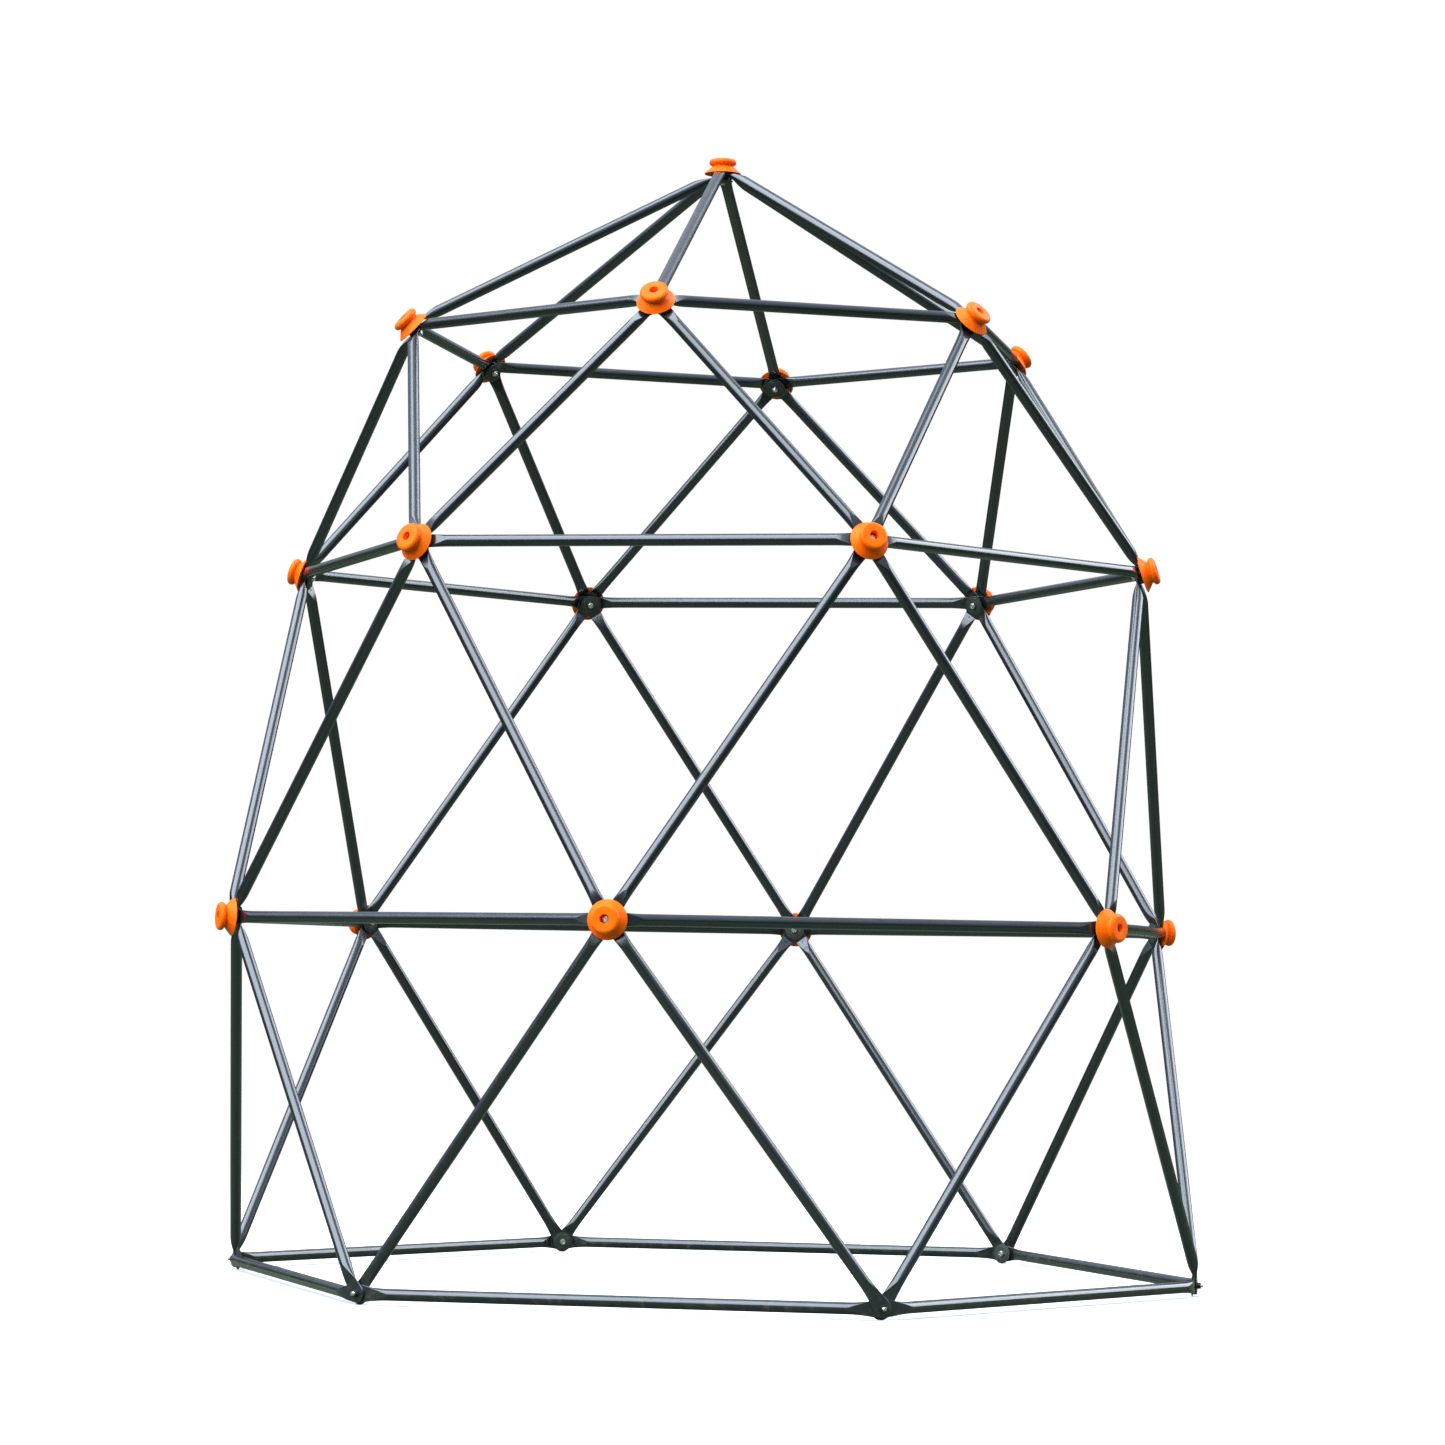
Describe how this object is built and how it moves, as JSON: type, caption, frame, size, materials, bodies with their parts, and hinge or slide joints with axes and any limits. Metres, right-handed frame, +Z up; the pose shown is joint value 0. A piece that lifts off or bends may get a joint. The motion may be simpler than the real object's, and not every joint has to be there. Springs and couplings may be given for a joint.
{
  "type": "dome climber",
  "caption": "Six-sided climbing dome of bolted flattened-end steel tubes, with a spool-shaped hand and foot knob on each hub above the base.",
  "frame": {"origin": "centre of the base, on the ground plane", "axes": "+Z up; -Y points at one lower-ring hub (the front), +X to the right seen from the front"},
  "size_m": [2.227, 2.27, 2.5362],
  "materials": {
    "frame_paint": "semi-gloss charcoal powder coat over steel tube",
    "knob_plastic": "satin moulded orange plastic",
    "disc_black": "satin black coated steel",
    "zinc": "bright zinc plate"
  },
  "bodies": {
    "root": {"crown_strut_1": "frame_paint", "crown_strut_2": "frame_paint", "crown_strut_3": "frame_paint", "crown_strut_4": "frame_paint", "crown_strut_5": "frame_paint", "crown_strut_6": "frame_paint", "upper_ring_strut_1": "frame_paint", "upper_ring_strut_2": "frame_paint", "upper_ring_strut_3": "frame_paint", "upper_ring_strut_4": "frame_paint", "upper_ring_strut_5": "frame_paint", "upper_ring_strut_6": "frame_paint", "middle_ring_strut_1": "frame_paint", "middle_ring_strut_2": "frame_paint", "middle_ring_strut_3": "frame_paint", "middle_ring_strut_4": "frame_paint", "middle_ring_strut_5": "frame_paint", "middle_ring_strut_6": "frame_paint", "lower_ring_strut_1": "frame_paint", "lower_ring_strut_2": "frame_paint", "lower_ring_strut_3": "frame_paint", "lower_ring_strut_4": "frame_paint", "lower_ring_strut_5": "frame_paint", "lower_ring_strut_6": "frame_paint", "base_ring_strut_1": "frame_paint", "base_ring_strut_2": "frame_paint", "base_ring_strut_3": "frame_paint", "base_ring_strut_4": "frame_paint", "base_ring_strut_5": "frame_paint", "base_ring_strut_6": "frame_paint", "upper_diagonals_1": "frame_paint", "upper_diagonals_2": "frame_paint", "upper_diagonals_3": "frame_paint", "upper_diagonals_4": "frame_paint", "upper_diagonals_5": "frame_paint", "upper_diagonals_6": "frame_paint", "middle_diagonals_1": "frame_paint", "middle_diagonals_2": "frame_paint", "middle_diagonals_3": "frame_paint", "middle_diagonals_4": "frame_paint", "middle_diagonals_5": "frame_paint", "middle_diagonals_6": "frame_paint", "lower_diagonals_1": "frame_paint", "lower_diagonals_2": "frame_paint", "lower_diagonals_3": "frame_paint", "lower_diagonals_4": "frame_paint", "lower_diagonals_5": "frame_paint", "lower_diagonals_6": "frame_paint", "crown_knob": "knob_plastic", "upper_knobs": "knob_plastic", "middle_knobs": "knob_plastic", "lower_knobs": "knob_plastic", "crown_bolt": "zinc", "knob_bolts": "zinc", "bolt_washers": "zinc", "lock_nuts": "zinc", "base_bolts": "zinc", "backing_discs": "disc_black", "base_washers": "disc_black", "base_nuts": "disc_black"}
  },
  "joints": []
}
